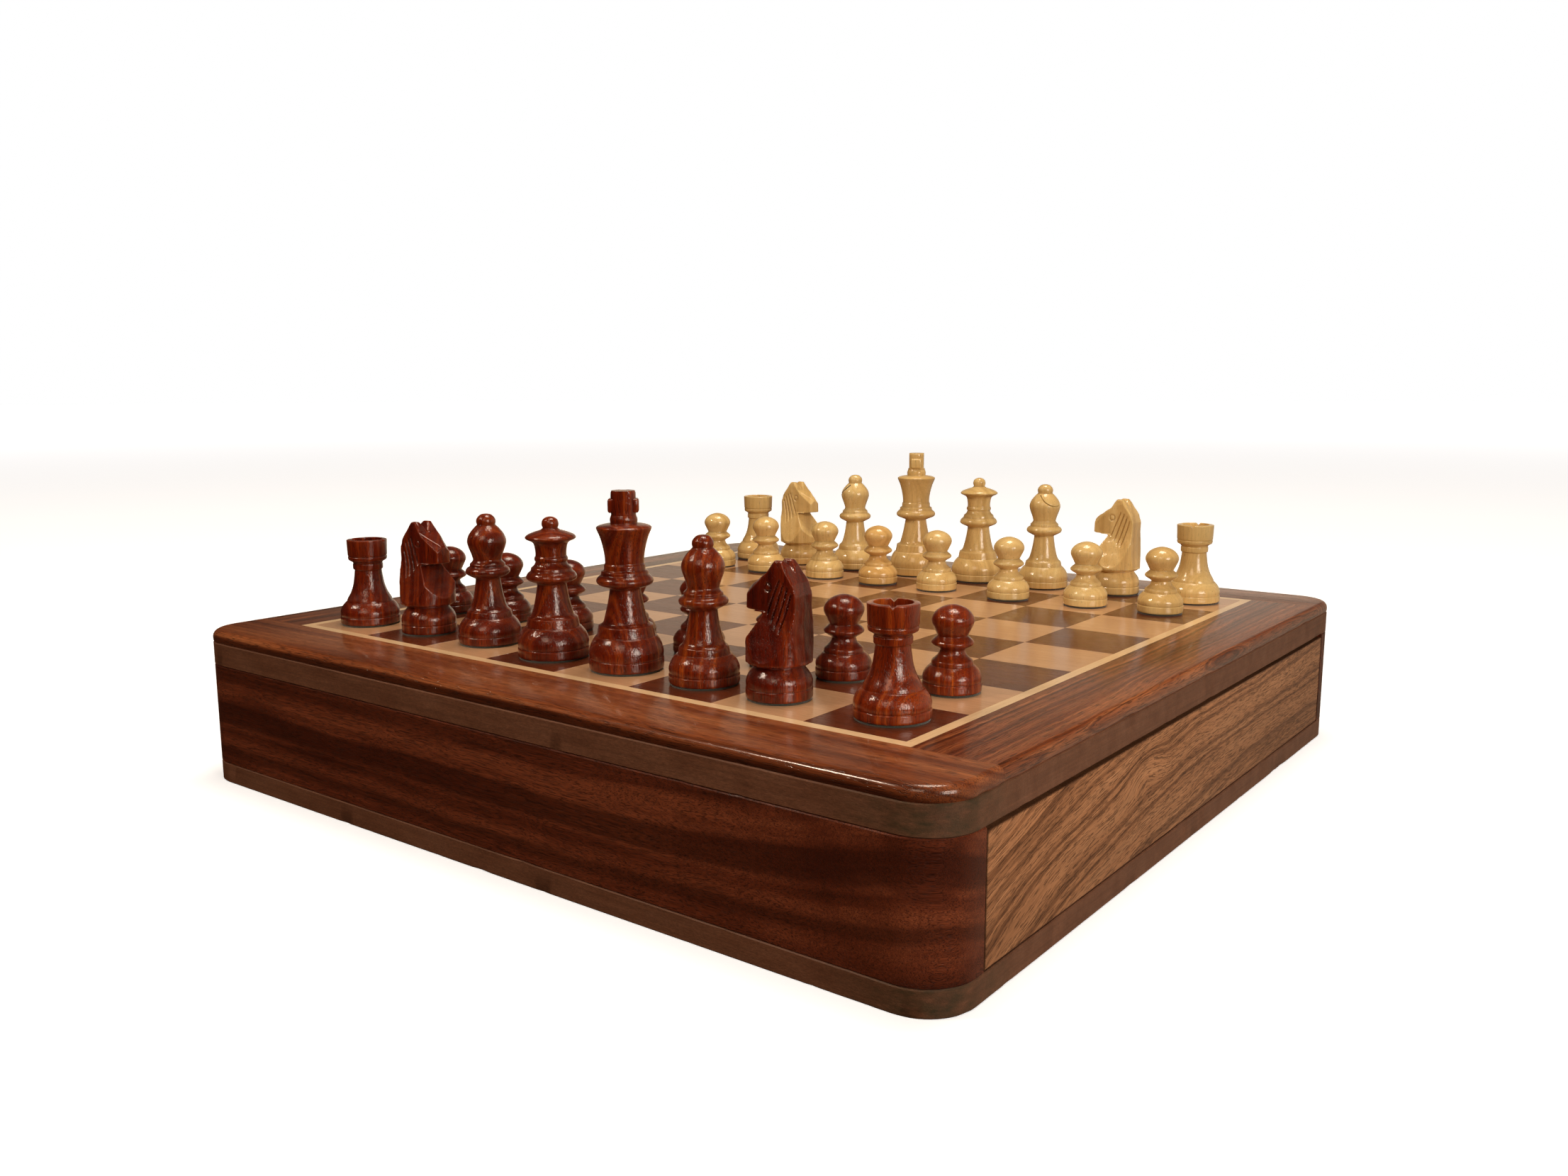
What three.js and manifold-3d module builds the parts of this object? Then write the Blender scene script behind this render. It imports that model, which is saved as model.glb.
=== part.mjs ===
// A small chess set set out on its own box board, with a storage drawer in one side.
// Units are millimetres and +Z is up. The origin is the centre of the box's underside.
// The dark army stands along -Y, the light army along +Y, and the drawer opens towards +X.

import * as THREE from 'three';
import { mergeVertices } from 'three/addons/utils/BufferGeometryUtils.js';
import Module from 'manifold-3d';

const wasm = await Module();
wasm.setup();

// Driving dimensions of the board.
const SQUARE = 31;
const FILES = 8;
const FIELD = SQUARE * FILES;
const INLAY_WIDTH = 3.4;
const BOX_SIDE = 305;
const CORNER_RADIUS = 14;
const CORNER_SEGMENTS = 5;

// Layers of the box, from the bottom up.
const BOTTOM_THICKNESS = 7;
const WALL_HEIGHT = 35;
const WALL_THICKNESS = 17;
const TOP_PANEL_THICKNESS = 8;
const TOP_LAYER_THICKNESS = 4;
const WALL_TOP = BOTTOM_THICKNESS + WALL_HEIGHT;
const TOP_LAYER_BOTTOM = WALL_TOP + TOP_PANEL_THICKNESS;
const BOARD_TOP = TOP_LAYER_BOTTOM + TOP_LAYER_THICKNESS;

// The drawer and its clearances in the box.
const DRAWER_SIDE_GAP = 0.5;
const DRAWER_TOP_GAP = 1;
const DRAWER_FLOOR_GAP = 0.4;
const DRAWER_TRAY_SIDE_GAP = 1;
const DRAWER_BACK_GAP = 6;
const DRAWER_BOARD = 6;
const DRAWER_SIDE_HEIGHT = 28;
const DRAWER_BOTTOM_THICKNESS = 3;
const LINING_THICKNESS = 1;

// Facets around the turned men.
const PAWN_FACETS = 10;
const PIECE_FACETS = 12;

const HALF_BOX = BOX_SIDE / 2;
const HALF_FIELD = FIELD / 2;
const INLAY_OUTER = HALF_FIELD + INLAY_WIDTH;
const INNER = HALF_BOX - WALL_THICKNESS;

const COLOURS = {
  rosewood: { color: 0x5a2a1a, roughness: 0.35, metalness: 0 },
  fibreboard: { color: 0x6b4630, roughness: 0.7, metalness: 0 },
  drawerFront: { color: 0x8a5433, roughness: 0.4, metalness: 0 },
  maple: { color: 0xd2a679, roughness: 0.4, metalness: 0 },
  field: { color: 0xa07850, roughness: 0.4, metalness: 0 },
  drawerWood: { color: 0xb08a5e, roughness: 0.6, metalness: 0 },
  felt: { color: 0x23402c, roughness: 0.95, metalness: 0 },
  darkMan: { color: 0x4f1710, roughness: 0.25, metalness: 0 },
  lightMan: { color: 0xe0b878, roughness: 0.4, metalness: 0 },
};

function piece(name, geometry, look) {
  const mesh = new THREE.Mesh(geometry, new THREE.MeshStandardMaterial(COLOURS[look]));
  mesh.name = name;
  return mesh;
}

// A block from its lowest and highest corners.
function block(name, look, low, high) {
  const size = high.map((value, axis) => value - low[axis]);
  const mesh = piece(name, new THREE.BoxGeometry(...size), look);
  mesh.position.set(...high.map((value, axis) => (value + low[axis]) / 2));
  return mesh;
}

// An outline in the XY plane whose named corners are rounded, extruded from z = low to z = high.
function roundedSlab(name, look, [x0, y0], [x1, y1], rounded, low, high) {
  const r = CORNER_RADIUS;
  const outline = new THREE.Shape();
  const corners = [
    { at: [x1, y0], round: rounded.includes('right_front'), from: -Math.PI / 2 },
    { at: [x1, y1], round: rounded.includes('right_back'), from: 0 },
    { at: [x0, y1], round: rounded.includes('left_back'), from: Math.PI / 2 },
    { at: [x0, y0], round: rounded.includes('left_front'), from: Math.PI },
  ];
  const points = corners.flatMap(({ at: [x, y], round, from }) => {
    if (!round) return [[x, y]];
    const cx = x - r * Math.sign(x);
    const cy = y - r * Math.sign(y);
    return Array.from({ length: CORNER_SEGMENTS + 1 }, (_, i) => {
      const angle = from + (Math.PI / 2) * (i / CORNER_SEGMENTS);
      return [cx + r * Math.cos(angle), cy + r * Math.sin(angle)];
    });
  });
  outline.setFromPoints(points.map(([x, y]) => new THREE.Vector2(x, y)));
  const geometry = new THREE.ExtrudeGeometry(outline, { depth: high - low, bevelEnabled: false });
  const mesh = piece(name, geometry, look);
  mesh.position.z = low;
  return mesh;
}

function boxPanels() {
  const corner = [HALF_BOX, HALF_BOX];
  const opposite = [-HALF_BOX, -HALF_BOX];
  const all = ['right_front', 'right_back', 'left_back', 'left_front'];
  return [
    roundedSlab('bottom_panel', 'fibreboard', opposite, corner, all, 0, BOTTOM_THICKNESS),
    roundedSlab('top_panel', 'fibreboard', opposite, corner, all, WALL_TOP, TOP_LAYER_BOTTOM),
  ];
}

// The front and back walls run the full length, and the left wall stands between them.
function boxWalls() {
  const low = BOTTOM_THICKNESS;
  const high = WALL_TOP;
  return [
    roundedSlab('front_wall', 'rosewood', [-HALF_BOX, -HALF_BOX], [HALF_BOX, -INNER],
      ['right_front', 'left_front'], low, high),
    roundedSlab('back_wall', 'rosewood', [-HALF_BOX, INNER], [HALF_BOX, HALF_BOX],
      ['right_back', 'left_back'], low, high),
    block('left_wall', 'rosewood', [-HALF_BOX, -INNER, low], [-INNER, INNER, high]),
  ];
}

// The top layer's frame: the front and back strips run the full length, the others between them.
function borderStrips() {
  const low = TOP_LAYER_BOTTOM;
  const high = BOARD_TOP;
  return [
    roundedSlab('border_front', 'rosewood', [-HALF_BOX, -HALF_BOX], [HALF_BOX, -INLAY_OUTER],
      ['right_front', 'left_front'], low, high),
    roundedSlab('border_back', 'rosewood', [-HALF_BOX, INLAY_OUTER], [HALF_BOX, HALF_BOX],
      ['right_back', 'left_back'], low, high),
    block('border_left', 'rosewood', [-HALF_BOX, -INLAY_OUTER, low], [-INLAY_OUTER, INLAY_OUTER, high]),
    block('border_right', 'rosewood', [INLAY_OUTER, -INLAY_OUTER, low], [HALF_BOX, INLAY_OUTER, high]),
  ];
}

function inlayStrips() {
  const low = TOP_LAYER_BOTTOM;
  const high = BOARD_TOP;
  return [
    block('inlay_front', 'maple', [-INLAY_OUTER, -INLAY_OUTER, low], [INLAY_OUTER, -HALF_FIELD, high]),
    block('inlay_back', 'maple', [-INLAY_OUTER, HALF_FIELD, low], [INLAY_OUTER, INLAY_OUTER, high]),
    block('inlay_left', 'maple', [-INLAY_OUTER, -HALF_FIELD, low], [-HALF_FIELD, HALF_FIELD, high]),
    block('inlay_right', 'maple', [HALF_FIELD, -HALF_FIELD, low], [INLAY_OUTER, HALF_FIELD, high]),
  ];
}

// The field is glued up from eight ranks of eight squares.
function ranks() {
  return Array.from({ length: FILES }, (_, rank) => {
    const front = -HALF_FIELD + rank * SQUARE;
    return block(`rank_${rank + 1}`, 'field', [-HALF_FIELD, front, TOP_LAYER_BOTTOM],
      [HALF_FIELD, front + SQUARE, BOARD_TOP]);
  });
}

function drawer() {
  const floor = BOTTOM_THICKNESS + DRAWER_FLOOR_GAP;
  const sideTop = floor + DRAWER_SIDE_HEIGHT;
  const frontHalf = INNER - DRAWER_SIDE_GAP;
  const outer = INNER - DRAWER_TRAY_SIDE_GAP;
  const inner = outer - DRAWER_BOARD;
  const rear = -INNER + DRAWER_BACK_GAP;
  const trayRear = rear + DRAWER_BOARD;
  const trayFloor = floor + DRAWER_BOTTOM_THICKNESS;
  const liningTop = trayFloor + LINING_THICKNESS;
  return [
    block('drawer_front', 'drawerFront', [INNER, -frontHalf, floor],
      [HALF_BOX, frontHalf, WALL_TOP - DRAWER_TOP_GAP]),
    block('drawer_side_front', 'drawerWood', [rear, -outer, floor], [INNER, -inner, sideTop]),
    block('drawer_side_back', 'drawerWood', [rear, inner, floor], [INNER, outer, sideTop]),
    block('drawer_back', 'drawerWood', [rear, -inner, floor], [trayRear, inner, sideTop]),
    block('drawer_bottom', 'drawerWood', [trayRear, -inner, floor], [INNER, inner, trayFloor]),
    block('drawer_lining', 'felt', [trayRear, -inner, trayFloor], [INNER, inner, liningTop]),
  ];
}

// A man turned on the lathe. The profile is a list of [radius, height] from the underside up.
function turned(profile, facets) {
  const points = [[0, 0], ...profile].map(([radius, height]) => new THREE.Vector2(radius, height));
  const geometry = new THREE.LatheGeometry(points, facets);
  geometry.rotateX(Math.PI / 2);
  return geometry;
}

// The foot that the turned men share: a straight band, a bulge, and a small ring above it.
function foot(radius, bandTop, ringRadius, ringHeight) {
  return [
    [radius, 0],
    [radius, bandTop],
    [(radius + ringRadius) / 2, ringHeight - 2],
    [ringRadius, ringHeight],
  ];
}

const PROFILES = {
  pawn: [
    ...foot(8.4, 4.6, 6.2, 8),
    [3.5, 12],
    [6, 14.2],
    [4.2, 16.2],
    [6, 20.3],
    [3.4, 23.6],
    [0, 24.8],
  ],
  rook: [
    ...foot(10.3, 4.6, 7.7, 8.6),
    [5.4, 14],
    [4.6, 19.5],
    [5.2, 22.3],
    [6.6, 23.4],
    [6.9, 30.5],
    [5.1, 30.5],
    [4.9, 28],
    [0, 28],
  ],
  bishop: [
    ...foot(10.3, 5.2, 7.3, 10.2),
    [5, 15.5],
    [4, 21.6],
    [7.2, 24.3],
    [4.6, 28],
    [6.3, 33.8],
    [4.4, 37.8],
    [2.8, 39.8],
    [3, 41.4],
    [0, 43.1],
  ],
  queen: [
    ...foot(11.2, 5.4, 7.9, 12),
    [5.6, 17.2],
    [4.6, 23.5],
    [7.9, 25.5],
    [4.9, 30],
    [5.1, 35.4],
    [7.9, 38],
    [3, 40.2],
    [2.6, 42.2],
    [0, 44.4],
  ],
  king: [
    ...foot(11.3, 6, 8.3, 12.8),
    [5.9, 17.7],
    [4.6, 24.8],
    [8.6, 27],
    [5.9, 32],
    [7.1, 39.9],
    [8.2, 42.8],
    [4, 44.2],
    [3.9, 47.3],
    [4.6, 47.8],
    [4.6, 51.4],
    [3.8, 52],
    [3.8, 54.1],
    [0, 54.1],
  ],
};

const KNIGHT_FOOT = [
  [9.3, 0],
  [9.3, 5],
  [8, 7.9],
  [6.9, 9.6],
  [0, 9.6],
];

// The knight's head and neck, seen from its left: [forward, height].
const KNIGHT_OUTLINE = [
  [-4.6, 9.2],
  [3.4, 9.2],
  [7.9, 12],
  [8, 15.4],
  [5.4, 18.4],
  [1.4, 24.4],
  [9.2, 24.4],
  [9, 29.8],
  [-0.4, 35.9],
  [-2.4, 38.3],
  [-4.2, 37.4],
  [-7.4, 31],
  [-7.8, 25],
  [-6.6, 11.6],
];
const KNIGHT_THICKNESS = 10;
const KNIGHT_TOP_THICKNESS = 7;

function solid(geometry) {
  const bare = geometry.clone();
  bare.deleteAttribute('normal');
  bare.deleteAttribute('uv');
  const merged = mergeVertices(bare, 1e-4);
  return new wasm.Manifold(new wasm.Mesh({
    numProp: 3,
    vertProperties: new Float32Array(merged.attributes.position.array),
    triVerts: new Uint32Array(merged.index.array),
  }));
}

function meshGeometry(manifold) {
  const { vertProperties, triVerts } = manifold.getMesh();
  const geometry = new THREE.BufferGeometry();
  geometry.setAttribute('position', new THREE.BufferAttribute(vertProperties, 3));
  geometry.setIndex(new THREE.BufferAttribute(triVerts, 1));
  return geometry;
}

// The sawn head stands on its turned foot and faces +X. It is thinner towards the ears.
function knight() {
  const outline = new THREE.Shape(KNIGHT_OUTLINE.map(([x, z]) => new THREE.Vector2(x, z)));
  const head = new THREE.ExtrudeGeometry(outline, { depth: KNIGHT_THICKNESS, bevelEnabled: false });
  head.translate(0, 0, -KNIGHT_THICKNESS / 2);
  head.rotateX(Math.PI / 2);
  const position = head.attributes.position;
  const [low, high] = [KNIGHT_OUTLINE[0][1], KNIGHT_OUTLINE[9][1]];
  for (let i = 0; i < position.count; i += 1) {
    const share = (position.getZ(i) - low) / (high - low);
    const taper = THREE.MathUtils.lerp(1, KNIGHT_TOP_THICKNESS / KNIGHT_THICKNESS, share);
    position.setY(i, position.getY(i) * taper);
  }
  return meshGeometry(solid(turned(KNIGHT_FOOT, PIECE_FACETS)).add(solid(head)));
}

const GEOMETRY = {
  knight: knight(),
  pawn: turned(PROFILES.pawn, PAWN_FACETS),
  rook: turned(PROFILES.rook, PIECE_FACETS),
  bishop: turned(PROFILES.bishop, PIECE_FACETS),
  queen: turned(PROFILES.queen, PIECE_FACETS),
  king: turned(PROFILES.king, PIECE_FACETS),
};

// Where each man stands: its file from the left, then how far it stands off its square's centre,
// because the men were put down by hand.
const DARK_BACK_RANK = [
  ['rook_left', -3, -1],
  ['knight_left', -3, 1],
  ['bishop_left', -3, 2],
  ['queen', -1, 0],
  ['king', -1, 1],
  ['bishop_right', -1, 1],
  ['knight_right', -4, 0],
  ['rook_right', 1, 1],
];
const DARK_PAWNS = [
  ['pawn_1', 2, 0],
  ['pawn_2', 2, 1],
  ['pawn_3', 2, 2],
  ['pawn_4', 2, 1],
  ['pawn_5', 1, 1],
  ['pawn_6', 1, 1],
  ['pawn_7', -4, 0],
  ['pawn_8', -1, 4],
];
const LIGHT_PAWNS = [
  ['pawn_1', 5, -3],
  ['pawn_2', 2, -2],
  ['pawn_3', 4, -2],
  ['pawn_4', 1, -2],
  ['pawn_5', -1, -2],
  ['pawn_6', 2, -4],
  ['pawn_7', 2, 0],
  ['pawn_8', 0, 2],
];
const LIGHT_BACK_RANK = [
  ['rook_left', 4, -2],
  ['knight_left', 0, -4],
  ['bishop_left', -1, -2],
  ['king', 0, -1],
  ['queen', 0, 0],
  ['bishop_right', 0, 0],
  ['knight_right', 0, 3],
  ['rook_right', 1, 2],
];

function menOnRank(army, rank, men) {
  return men.map(([role, offX, offY], file) => {
    const mesh = piece(`${army}_${role}`, GEOMETRY[role.split('_')[0]], `${army}Man`);
    mesh.position.set(-HALF_FIELD + SQUARE * (file + 0.5) + offX,
      -HALF_FIELD + SQUARE * (rank + 0.5) + offY, BOARD_TOP);
    if (role === 'knight_right') mesh.rotation.z = Math.PI;
    return mesh;
  });
}

const chessSet = new THREE.Group();
chessSet.add(...boxPanels(), ...boxWalls(), ...borderStrips(), ...inlayStrips(), ...ranks(), ...drawer());
chessSet.add(...menOnRank('dark', 0, DARK_BACK_RANK), ...menOnRank('dark', 1, DARK_PAWNS));
chessSet.add(...menOnRank('light', 6, LIGHT_PAWNS), ...menOnRank('light', 7, LIGHT_BACK_RANK));

export default chessSet;
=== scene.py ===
"""A wooden chess set standing on its own box board, with a storage drawer in the board's right side.

The men, squares, strips and panels are built here as fine meshes that take the place of the CAD solids.
Shapes are worked out in millimetres and scaled to metres when they are finished. Each mesh carries a
"grain" attribute: its own coordinates in millimetres, with the first one along the wood's grain.
"""

import math
import random

import bmesh
import bpy
import numpy as np
from mathutils import Matrix, Vector, noise


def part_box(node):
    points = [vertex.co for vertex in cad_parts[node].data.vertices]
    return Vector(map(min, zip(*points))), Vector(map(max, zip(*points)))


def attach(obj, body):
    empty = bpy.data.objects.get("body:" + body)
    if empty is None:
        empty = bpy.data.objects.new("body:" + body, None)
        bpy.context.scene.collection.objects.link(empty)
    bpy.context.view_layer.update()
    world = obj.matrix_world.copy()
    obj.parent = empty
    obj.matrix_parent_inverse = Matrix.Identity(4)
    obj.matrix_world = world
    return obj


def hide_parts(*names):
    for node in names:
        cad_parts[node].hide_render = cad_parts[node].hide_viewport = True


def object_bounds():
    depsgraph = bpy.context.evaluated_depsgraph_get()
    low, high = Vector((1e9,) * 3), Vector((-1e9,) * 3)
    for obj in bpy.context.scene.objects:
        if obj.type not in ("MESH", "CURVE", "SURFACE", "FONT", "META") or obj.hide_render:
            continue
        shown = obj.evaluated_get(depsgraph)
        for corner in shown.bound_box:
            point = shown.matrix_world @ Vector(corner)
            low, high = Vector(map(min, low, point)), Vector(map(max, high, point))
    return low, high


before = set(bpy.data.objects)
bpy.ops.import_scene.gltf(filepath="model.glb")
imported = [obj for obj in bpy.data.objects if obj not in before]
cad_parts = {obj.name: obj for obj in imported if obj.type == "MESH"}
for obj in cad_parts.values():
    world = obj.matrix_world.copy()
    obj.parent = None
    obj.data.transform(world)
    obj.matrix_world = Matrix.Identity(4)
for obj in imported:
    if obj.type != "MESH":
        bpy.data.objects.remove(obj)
CAD_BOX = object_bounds()

MM = 0.001


# ------------ node helpers


class Nodes:
    """A short way to write the node tree of a new material or world."""

    def __init__(self, owner):
        self.owner = owner
        owner.use_nodes = True
        self.tree = owner.node_tree
        self.tree.nodes.clear()

    def add(self, kind, inputs=None, **settings):
        node = self.tree.nodes.new(f"ShaderNode{kind}")
        for key, value in settings.items():
            setattr(node, key, value)
        for key, value in (inputs or {}).items():
            self.put(node.inputs[key], value)
        return node

    def put(self, socket, value):
        if isinstance(value, bpy.types.NodeSocket):
            self.tree.links.new(value, socket)
        else:
            socket.default_value = value

    def attribute(self, name, output="Fac"):
        return self.add("Attribute", attribute_name=name).outputs[output]

    def math(self, operation, a, b=0.0, clamp=False):
        return self.add("Math", {0: a, 1: b}, operation=operation, use_clamp=clamp).outputs[0]

    def plus(self, a, b):
        return self.math("ADD", a, b)

    def minus(self, a, b):
        return self.math("SUBTRACT", a, b)

    def times(self, a, b, clamp=False):
        return self.math("MULTIPLY", a, b, clamp)

    def squared(self, a):
        return self.math("POWER", a, 2.0)

    def centred(self, value, amount):
        """How far the value is above a half, times the amount."""
        return self.times(self.minus(value, 0.5), amount)

    def mix(self, share, a, b, blend="MIX"):
        node = self.add("Mix", {0: share, 6: a, 7: b}, data_type="RGBA", blend_type=blend)
        return node.outputs[2]

    def tinted(self, a, b):
        """Two colours multiplied."""
        return self.mix(1.0, a, b, "MULTIPLY")

    def noise(self, vector, scale, detail=3.0, roughness=0.55, distortion=0.0):
        """Noise with this many waves per unit along each axis of the vector."""
        stretched = self.add("Mapping", {"Vector": vector, "Scale": scale}).outputs[0]
        return self.plain_noise(stretched, detail, roughness, distortion)

    def plain_noise(self, vector, detail=3.0, roughness=0.55, distortion=0.0):
        node = self.add("TexNoise", {
            "Vector": vector, "Scale": 1.0, "Detail": detail,
            "Roughness": roughness, "Distortion": distortion,
        })
        return node.outputs["Fac"]

    def ramp(self, factor, *stops):
        """Grey levels or colours at these (place, value) stops."""
        node = self.add("ValToRGB", {"Fac": factor})
        elements = node.color_ramp.elements
        while len(elements) < len(stops):
            elements.new(0.5)
        for element, (place, value) in zip(elements, stops):
            element.position = place
            element.color = colour(value)
        return node.outputs["Color"]

    def bump(self, height, distance):
        return self.add("Bump", {"Height": height, "Distance": distance, "Strength": 1.0}).outputs[0]

    def finish(self, shader, output="OutputMaterial"):
        self.add(output, {"Surface": shader})
        return self.owner


def new_material(name):
    return Nodes(bpy.data.materials.new(name))


def colour(value, times=1.0):
    """A grey level or an RGB triple, multiplied, as RGBA."""
    rgb = (value,) * 3 if isinstance(value, (int, float)) else value
    return (*(c * times for c in rgb), 1.0)


# ------------ materials


# Scales of the wood's noises, in waves per mm: along the grain, and on the two axes across it.
DRIFT_ACROSS = 0.03
SWAY_ACROSS = 0.07
STREAK_SCALE = (0.035, 1.7, 1.7)
HAIR_SCALE = (0.10, 5.0, 5.0)
BLOTCH_SCALE = (0.012, 0.06, 0.06)
PORE_ACROSS = 4.2
SWELL_SCALE = (0.75, 1.0, 1.0)
# The second, shorter wander of the grain: how much shorter and how much smaller than the first.
SWAY_RATE = 2.6
SWAY_SHARE = 0.3
# How far below the surface the rings' centre lies, in mm, and how much longer a knot is than wide.
HEART_DEPTH = 60.0
KNOT_STRETCH = 2.0
# How softly the edges of growth lines and pores fade, the row of the ring noise that the lines take,
# and how strongly the pores show.
LINE_FADE = 0.06
LINE_ROW = 7.0
PORE_STRENGTH = 0.6
# How dark the pores and the darkened hollows (partly pooled lacquer, partly painted shade) are beside the
# darkest tone, and how light the worn edges are beside the lightest.
PORE_DARKNESS = 0.25
POOL_AND_SHADE_DARKNESS = 0.45
WORN_LIGHTNESS = 1.35
LIGHTEST = 0.85
# How strongly hollows (partly pooled lacquer, partly painted shade) and the drawer front's bevel (painted
# shade) darken, and how much the fibres vary the roughness.
POOL_AND_SHADE_STRENGTH = 0.7
ROUGHNESS_SPREAD = 0.16
# How much of a pore's depth the lacquer follows.
PORE_IN_LACQUER = 0.4


def bent_grain(n, grain, drift, wander, stretch, sweep, knot):
    """The grain coordinates, with the wood's lines pushed sideways by its drift, sweep and knot."""
    sway = n.noise(grain, (SWAY_RATE / stretch, SWAY_ACROSS, SWAY_ACROSS), detail=2.0)
    along, side, depth = n.add("SeparateXYZ", {0: grain}).outputs
    across = n.plus(side, n.centred(drift, wander))
    across = n.plus(across, n.centred(sway, wander * SWAY_SHARE))
    if sweep:
        rise, start, length = sweep
        fall = n.math("EXPONENT", n.math("DIVIDE", n.minus(start, along), length))
        across = n.plus(across, n.times(fall, rise))
    if knot:
        knot_along, knot_side, radius, push = knot
        far_along = n.math("DIVIDE", n.minus(along, knot_along), radius * KNOT_STRETCH)
        far_side = n.math("DIVIDE", n.minus(side, knot_side), radius)
        away = n.plus(n.squared(far_along), n.squared(far_side))
        near = n.math("EXPONENT", n.times(away, -1.0))
        across = n.plus(across, n.times(near, push))
    return along, across, depth


def ring_count(n, across, depth, spacing):
    """How many growth rings lie between the log's heart and each point."""
    below = n.plus(depth, HEART_DEPTH)
    reach = n.math("SQRT", n.plus(n.squared(across), n.squared(below)))
    return n.times(n.plus(reach, across), 1 / spacing)


def ring_colour(n, bent, turn, drift, tones, spread):
    """The broad light and dark bands."""
    layers = n.plain_noise(n.add("CombineXYZ", {0: turn, 1: drift}).outputs[0], roughness=0.6)
    blotch = n.noise(bent, BLOTCH_SCALE, detail=2.0)
    figure = n.plus(n.times(layers, 0.7), n.times(blotch, 0.3))
    dark, middle, light = tones
    return n.ramp(figure, (0.5 - spread, dark), (0.5, middle), (0.5 + spread, light))


def growth_lines(n, turn, share):
    """1 on the thin dark lines between rings."""
    place_in_ring = n.add("CombineXYZ", {0: turn, 1: LINE_ROW}).outputs[0]
    return n.ramp(n.plain_noise(place_in_ring, detail=1.0), (share, 1.0), (share + LINE_FADE, 0.0))


def wear_lacquer_pools_and_shade(n, base, hair, tones, wear):
    """Paler wood where the edge attribute says worn, and darker where it is below zero: partly pooled
    lacquer, partly painted shade in hollows, and painted shade on the drawer front's bevel.
    """
    edge = n.attribute("edge")
    patchy = n.times(edge, n.ramp(hair, (0.35, 0.4), (0.65, 1.2)))
    thin = n.times(patchy, wear, clamp=True)
    pale = [min(LIGHTEST, c * WORN_LIGHTNESS) for c in tones[2]]
    base = n.mix(thin, base, colour(pale))
    # Below zero the edge darkens towards the darkest tone: pooled lacquer and painted shade in hollows,
    # painted shade on the drawer front's bevel.
    pool_and_shade = n.times(edge, -POOL_AND_SHADE_STRENGTH, clamp=True)
    return n.mix(pool_and_shade, base, colour(tones[0], POOL_AND_SHADE_DARKNESS))


def wood(name, tones, rings, lines, fibre, pores, gloss, ripple=0.0, wear=0.6, orange=(1, 1, 1),
         sweep=None, knot=None):
    """Lacquered wood.

    tones: dark, middle and light colour. rings: (spacing mm, wander mm, stretch along the grain, tone
    spread). lines: (share, strength) of the thin dark growth lines. fibre: how much the fine streaks
    change the colour. pores: (share, length mm, depth mm) of the dark dashes. gloss: (roughness, coat
    weight, coat roughness). ripple: height in mm of the uneven lacquer. wear: how much lighter ridges
    are. orange: what a piece with a tone of 1 has its colour multiplied by. sweep: (rise, start, length)
    in mm bends the lines away from one end. knot: (along, across, radius, push) in mm bends them round.
    """
    n = new_material(name)
    grain = n.attribute("grain", "Vector")
    spacing, wander, stretch, spread = rings
    drift = n.noise(grain, (1 / stretch, DRIFT_ACROSS, DRIFT_ACROSS), detail=2.0)
    along, across, depth = bent_grain(n, grain, drift, wander, stretch, sweep, knot)
    bent = n.add("CombineXYZ", {0: along, 1: across, 2: depth}).outputs[0]
    turn = ring_count(n, across, depth, spacing)
    streak = n.noise(bent, STREAK_SCALE, detail=4.0, roughness=0.65)
    hair = n.noise(bent, HAIR_SCALE, detail=2.0, roughness=0.6)

    base = ring_colour(n, bent, turn, drift, tones, spread)
    share, strength = lines
    base = n.mix(n.times(growth_lines(n, turn, share), strength), base, colour(tones[0]))
    fine = n.plus(n.times(streak, 0.6), n.times(hair, 0.4))
    base = n.tinted(base, n.ramp(fine, (0.32, 1 - fibre), (0.68, 1 + fibre)))
    share, length, depth_mm = pores
    dash = n.noise(bent, (1 / length, PORE_ACROSS, PORE_ACROSS), detail=1.0, roughness=0.5)
    pore = n.ramp(dash, (share, 1.0), (share + LINE_FADE, 0.0))
    base = n.mix(n.times(pore, PORE_STRENGTH), base, colour(tones[0], PORE_DARKNESS))
    base = n.mix(n.attribute("tone"), base, n.tinted(base, colour(orange)))
    base = wear_lacquer_pools_and_shade(n, base, hair, tones, wear)

    roughness, coat, coat_roughness = gloss
    swell = n.noise(grain, SWELL_SCALE, detail=4.0)
    lacquer = n.minus(n.times(swell, ripple), n.times(pore, depth_mm * PORE_IN_LACQUER))
    shader = n.add("BsdfPrincipled", {
        "Base Color": base,
        "Roughness": n.plus(roughness, n.centred(streak, ROUGHNESS_SPREAD)),
        "Normal": n.bump(n.minus(1.0, pore), depth_mm * MM),
        "Coat Normal": n.bump(lacquer, MM),
        "Coat Weight": coat,
        "Coat Roughness": coat_roughness,
        "Coat IOR": 1.5,
        "Specular IOR Level": 0.08,
    })
    return n.finish(shader.outputs[0])


# The fibreboard's tones and stain, and how deep its fibres stand, in mm.
BOARD_TONES = [(0.142, 0.055, 0.026), (0.178, 0.075, 0.038), (0.205, 0.092, 0.050)]
STAIN_COLOUR = (0.044, 0.033, 0.014)
FIBRE_DEPTH = 0.10


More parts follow.
